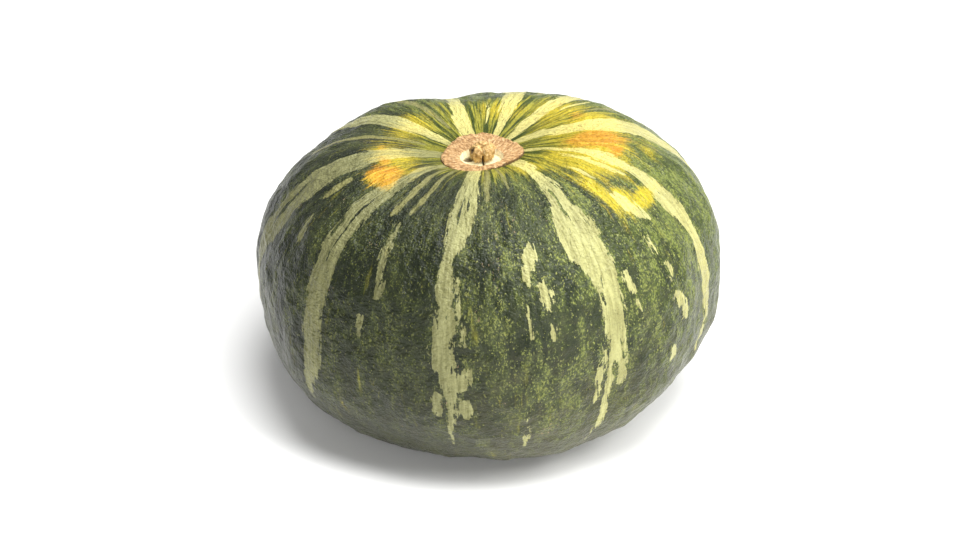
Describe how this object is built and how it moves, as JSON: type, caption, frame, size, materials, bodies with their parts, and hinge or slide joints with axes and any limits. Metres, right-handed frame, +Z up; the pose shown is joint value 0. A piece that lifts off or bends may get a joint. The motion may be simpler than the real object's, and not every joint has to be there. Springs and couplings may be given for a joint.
{
  "type": "winter squash",
  "caption": "Whole round kabocha-type winter squash, flattened and shallowly ribbed, with striped green rind and a corky stem button, resting on a small flat spot.",
  "frame": {"origin": "bottom centre of the squash's bounding box, on the surface that it rests on", "axes": "+Z up, through the stem end; the stripe between the two broadest green panels faces -Y, and the orange blotches lie towards +X and -X"},
  "size_m": [0.1788, 0.1808, 0.1159],
  "materials": {
    "rind": "hard waxy squash rind, satin, dark mottled green with pale yellow-green stripes",
    "cork": "dry matte corky stem, light tan"
  },
  "bodies": {
    "root": {"fruit": "rind", "stem": "cork"}
  },
  "joints": []
}
